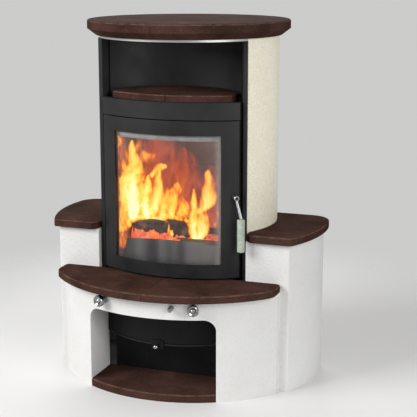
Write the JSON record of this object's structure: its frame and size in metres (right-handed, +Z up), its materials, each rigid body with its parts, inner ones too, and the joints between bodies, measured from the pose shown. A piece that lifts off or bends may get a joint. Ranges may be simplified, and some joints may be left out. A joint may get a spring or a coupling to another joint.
{
  "type": "wood stove",
  "caption": "Round wood stove with bowed glass fire door, warming niche, tiled column, wrap-round benches, ash drawer, riddling grate and push-pull air controls.",
  "frame": {"origin": "on the floor at the vertical axis of the round column", "axes": "+Z up, front with the fire door towards -Y, +X to the right when facing the stove's front"},
  "size_m": [0.86, 0.7437, 1.085],
  "materials": {
    "black_steel": "satin black stove paint",
    "brown_slab": "dark brown satin glaze",
    "cream_tile": "cream stone, lightly mottled",
    "white_plaster": "fine white plaster",
    "rim_steel": "pale metal edge",
    "door_glass": "clear curved glass",
    "rope": "woven glass rope",
    "chrome": "polished",
    "grip_stone": "pale grey green, smooth",
    "fire_brick": "fired brick, sooty",
    "cast_iron": "raw casting",
    "plain_steel": "plain"
  },
  "bodies": {
    "stove": {"ash_chute": "black_steel", "baffle_plate": "fire_brick", "base_plate": "black_steel", "base_slab": "brown_slab", "carcass_shell": "black_steel", "firebox": "black_steel", "flue_collar": "plain_steel", "front_frame": "black_steel", "front_surround": "white_plaster", "grate_ring": "cast_iron", "header_band": "black_steel", "hearth_bricks": "fire_brick", "hinge_plates": "black_steel", "left_bench": "white_plaster", "left_bench_slab": "brown_slab", "left_bricks": "fire_brick", "left_hearth_slab": "brown_slab", "left_niche_shelf": "brown_slab", "left_post": "black_steel", "left_tile_lower": "cream_tile", "left_tile_middle": "cream_tile", "left_tile_upper": "cream_tile", "left_top_plate": "brown_slab", "log_guard": "black_steel", "lower_panel": "black_steel", "niche_back": "black_steel", "niche_floor": "black_steel", "plinth": "black_steel", "rear_bricks": "fire_brick", "rear_shield": "black_steel", "right_bench": "white_plaster", "right_bench_slab": "brown_slab", "right_bricks": "fire_brick", "right_hearth_slab": "brown_slab", "right_niche_shelf": "brown_slab", "right_post": "black_steel", "right_tile_lower": "cream_tile", "right_tile_middle": "cream_tile", "right_tile_upper": "cream_tile", "right_top_plate": "brown_slab", "rod_bushes": "plain_steel", "smoke_box": "black_steel", "top_rim": "rim_steel"},
    "door": {"door_frame": "black_steel", "door_glass": "door_glass", "glass_gasket": "rope", "glass_retainers": "black_steel", "door_seal": "rope", "handle_boss": "black_steel"},
    "handle": {"handle_spindle": "plain_steel", "handle_lever": "chrome", "handle_grip": "grip_stone"},
    "primary_air": {"primary_knob": "chrome", "primary_damper": "chrome"},
    "secondary_air": {"secondary_knob": "chrome", "secondary_damper": "chrome"},
    "riddling_rod": {"riddle_rod": "chrome"},
    "grate": {"riddle_grate": "cast_iron"},
    "drawer": {"ash_drawer": "black_steel", "drawer_knob": "chrome"}
  },
  "joints": [
    {"name": "door_hinge", "type": "hinge", "parent": "stove", "child": "door", "pos_m": [-0.20551, -0.15854, 0.56], "axis": [0, 0, -1], "range_deg": [0, 90]},
    {"name": "handle_turn", "type": "hinge", "parent": "door", "child": "handle", "pos_m": [0.20551, -0.16678, 0.581], "axis": [-0.5239, 0.8518, 0], "range_deg": [0, 90]},
    {"name": "primary_air_slide", "type": "slide", "parent": "stove", "child": "primary_air", "axis": [-0.3322, -0.9432, 0], "range_m": [0, 0.035]},
    {"name": "secondary_air_slide", "type": "slide", "parent": "stove", "child": "secondary_air", "axis": [0.3322, -0.9432, 0], "range_m": [0, 0.035]},
    {"name": "riddling_slide", "type": "slide", "parent": "stove", "child": "riddling_rod", "axis": [0.1857, -0.9826, 0], "range_m": [0, 0.024]},
    {"name": "grate_turn", "type": "hinge", "parent": "stove", "child": "grate", "pos_m": [0, -0.02, 0.362], "axis": [0, 0, -1], "range_deg": [0, 31]},
    {"name": "drawer_slide", "type": "slide", "parent": "stove", "child": "drawer", "axis": [0, -1, 0], "range_m": [0, 0.24]}
  ],
  "couplings": [
    {"joint": "grate_turn", "follows": "riddling_slide", "rad_per_m": 22.222}
  ]
}
